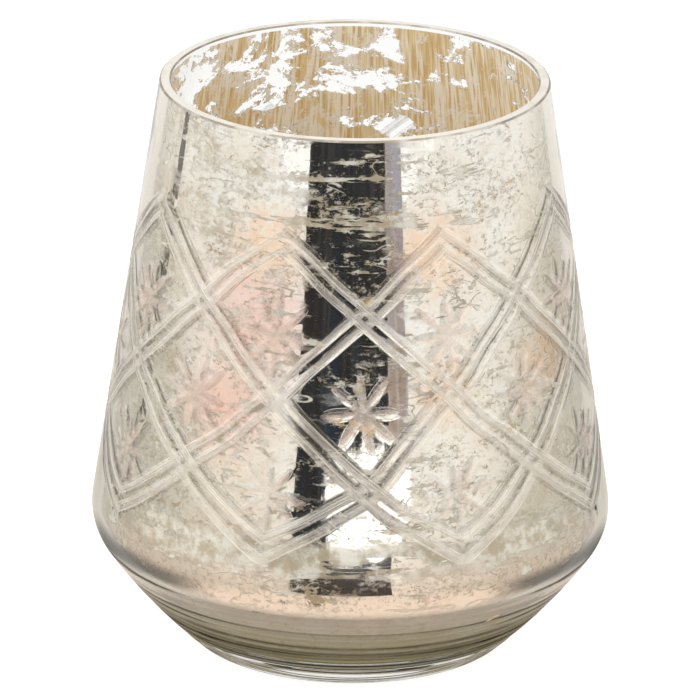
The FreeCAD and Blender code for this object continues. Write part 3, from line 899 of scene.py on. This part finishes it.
def streakedFinish(name, left, right, streak):
    # a glowing card with soft upright streaks, seen only in reflections: a painted reflection
    f = Finish(name)
    strands = f.noise(22.0, stretch=(1, 1, 0.05), detail=5.0, rough=0.65)
    tone = f.noise(90.0, stretch=(1, 1, 0.6), detail=2.0, shift=3.0)
    colour = f.blend(tone.above(0.5, 0.12), left, right)
    return glowing(f, f.blend(strands.above(0.56, 0.08) * 0.5, colour, streak))


def paintedHighlightFinish():
    # a glowing patch with a ragged edge, seen only in reflections: a painted highlight
    f = Finish("paintedHighlightFace")
    ragged = f.noise(24.0, stretch=(0.35, 1, 1), detail=7.0, rough=0.75)
    away = ((f.x - 70.0) / 185.0) ** 2 + ((f.z - 16.0) / 21.0) ** 2
    seen = (away + (ragged - 0.5) * 2.2).above(1.0, -0.10)
    return glowing(f, (1.0, 0.98, 0.96), studio["hotGlow"], alpha=seen)


def paintedTableFinish():
    # a glowing disc seen only in reflections, a painted reflection of the table: pale far away, warm close
    # by, painted shade under the foot and darker at the sides
    f = Finish("paintedTableReflection")
    radius = f.node("VectorMath", {"operation": "LENGTH"}, {0: f.place}, out="Value") / mm
    beside = abs(f.x) / radius
    behind = f.y.above(250.0, 60.0) * (1 - beside.above(0.36, 0.08))
    colour = f.blend(radius.above(760.0, 460.0), studio["tableNear"], studio["tableFar"])
    # painted darker reflection at the sides, towards the front
    sides = beside.above(0.55, 0.22) * (1 - radius.above(620.0, 260.0))
    colour = f.blend(sides * f.y.above(-160.0, 160.0), colour, studio["paintedDarkSides"])
    close = 1 - radius.above(112.0, 26.0)
    colour = f.blend(close, colour, studio["tableFront"])
    # painted shade close by, beside the foot
    shaded = close * beside.above(0.80, 0.12) * radius.above(70.0, 8.0)
    colour = f.blend(shaded, colour, studio["tableShade"])
    # painted shadow under the foot, streaked with dark rings
    rings = f.grain(f.node("CombineXYZ", {}, {0: radius / 2.6}), detail=3.0, rough=0.6)
    under = f.blend(rings.above(0.52, 0.08), studio["paintedShadeUnder"], studio["paintedShadeStreak"])
    colour = f.blend(1 - radius.above(61.0, 15.0), colour, under)
    return glowing(f, f.blend(behind, colour, studio["tableBehind"]))


def panel(name, corners, material, reflectedOnly=True):
    mesh = bpy.data.meshes.new(name)
    mesh.from_pydata(corners, [], [list(range(len(corners)))])
    mesh.materials.append(material)
    piece = bpy.data.objects.new(name, mesh)
    bpy.context.scene.collection.objects.link(piece)
    if reflectedOnly:
        piece.visible_camera = piece.visible_diffuse = piece.visible_shadow = False


def upright(name, one, other, top, finish):
    # a card that stands on the floor between two points
    panel(name, [(*one, 0.0), (*other, 0.0), (*other, top), (*one, top)], finish)


half, cardY = studio["floorHalf"], studio["cardY"]
paper = Finish("paperFloor")
panel("studioFloor", [(-half, -half, 0), (half, -half, 0), (half, half, 0), (-half, half, 0)],
      paper.done(paper.surface(colour=studio["floorPaint"], rough=0.9, glow=(1.0, 1.0, 1.0),
                               glowStrength=studio["floorGlow"])), reflectedOnly=False)
# a glowing disc seen only in reflections, painting the table's reflection and its shade
panel("paintedTableReflection", [(studio["tableRadius"] * math.cos(t), studio["tableRadius"] * math.sin(t),
                         studio["tableHigh"]) for t in evenAngles(64)], paintedTableFinish())
# glowing card faces seen only in reflections: painted dark and grey reflections on the silver
darkFace = streakedFinish("darkCardFace", (0.022, 0.022, 0.024), (0.020, 0.030, 0.048), (0.075, 0.072, 0.070))
darkTableFace = streakedFinish(
    "darkTableFace", (0.030, 0.027, 0.024), (0.030, 0.027, 0.024), (0.10, 0.09, 0.075))
greyFace = streakedFinish("greyCardFace", (0.42, 0.33, 0.26), (0.44, 0.43, 0.52), (0.62, 0.58, 0.62))
flagFace = streakedFinish("sideFlagFace", (0.10, 0.09, 0.08), (0.16, 0.14, 0.12), (0.22, 0.2, 0.18))
# a dark glowing card seen only in reflections: the painted dark stripe on the silver
left, right = studio["darkCard"]
upright("darkCard", (left, cardY), (right, cardY), studio["cardTop"], darkFace)
# a dark glowing sheet on the floor, seen only in reflections: the painted dark stripe carried down into the
# shoulder
nearLeft, nearRight = studio["darkTableNear"]
nearY, above = studio["darkTableEnd"], studio["darkTableHigh"]
panel("darkTable", [(left, cardY, above), (right, cardY, above), (nearRight, nearY, above),
                    (nearLeft, nearY, above)], darkTableFace)
# a greyish glowing card seen only in reflections: painted grey reflection beside the dark stripe
left, right = studio["greyCard"]
upright("greyCard", (left, cardY), (right, cardY), studio["cardTop"], greyFace)
# a glowing card seen only in reflections: the painted highlight low on the wall
left, right = studio["hotCard"]
hotY = cardY + studio["hotAhead"]
upright("hotCard", (left, hotY), (right, hotY), studio["hotTop"], paintedHighlightFinish())
# a dark glowing card seen only in reflections: a painted darker reflection near the left edge
upright("sideFlag", *studio["flagEnds"], studio["flagTop"], flagFace)  # mirrored near the left edge

world = bpy.data.worlds.new("softStudio")
world.use_nodes = True
sky = world.node_tree.nodes["Background"].inputs
sky["Color"].default_value = (*studio["skyTint"], 1)
sky["Strength"].default_value = studio["skyStrength"]

lamp = bpy.data.lights.new("overheadLight", "AREA")
lamp.shape, lamp.size = "DISK", studio["lightSize"]
lamp.energy, lamp.color = studio["lightPower"], studio["lightTint"]
light = bpy.data.objects.new("overheadLight", lamp)
light.location = studio["lightAt"]
aim = Vector(studio["lightAim"]) - Vector(studio["lightAt"])
light.rotation_euler = aim.to_track_quat("-Z", "Y").to_euler()

scene = bpy.context.scene
scene.collection.objects.link(light)
scene.world = world
scene.view_settings.view_transform = "Standard"
# light has to get through glass and several layers of worn film, there and back
scene.cycles.transparent_max_bounces = 24
scene.cycles.max_bounces = 16
scene.cycles.transmission_bounces = 14
scene.cycles.blur_glossy = 0.0

# metres and radians
shot = {"distance": 1.496, "pitch": 0.365, "roll": 0.011, "lens": 308.6, "aim": 0.0748,
        "aside": -0.00052, "up": -0.00204}
pitch, roll = shot["pitch"], shot["roll"]
backward = Vector((0, -math.cos(pitch), math.sin(pitch)))
level, rise = Vector((1, 0, 0)), Vector((0, math.sin(pitch), math.cos(pitch)))
rightward = level * math.cos(roll) + rise * math.sin(roll)
upward = rise * math.cos(roll) - level * math.sin(roll)
lensData = bpy.data.cameras.new("shot")
lensData.lens, lensData.sensor_width = shot["lens"], 36.0
camera = bpy.data.objects.new("shot", lensData)
camera.matrix_world = Matrix((rightward, upward, backward)).transposed().to_4x4()
camera.location = (Vector((0, 0, shot["aim"])) + backward * shot["distance"]
                   + rightward * shot["aside"] + upward * shot["up"])
scene.collection.objects.link(camera)
scene.camera = camera
print("studio set")
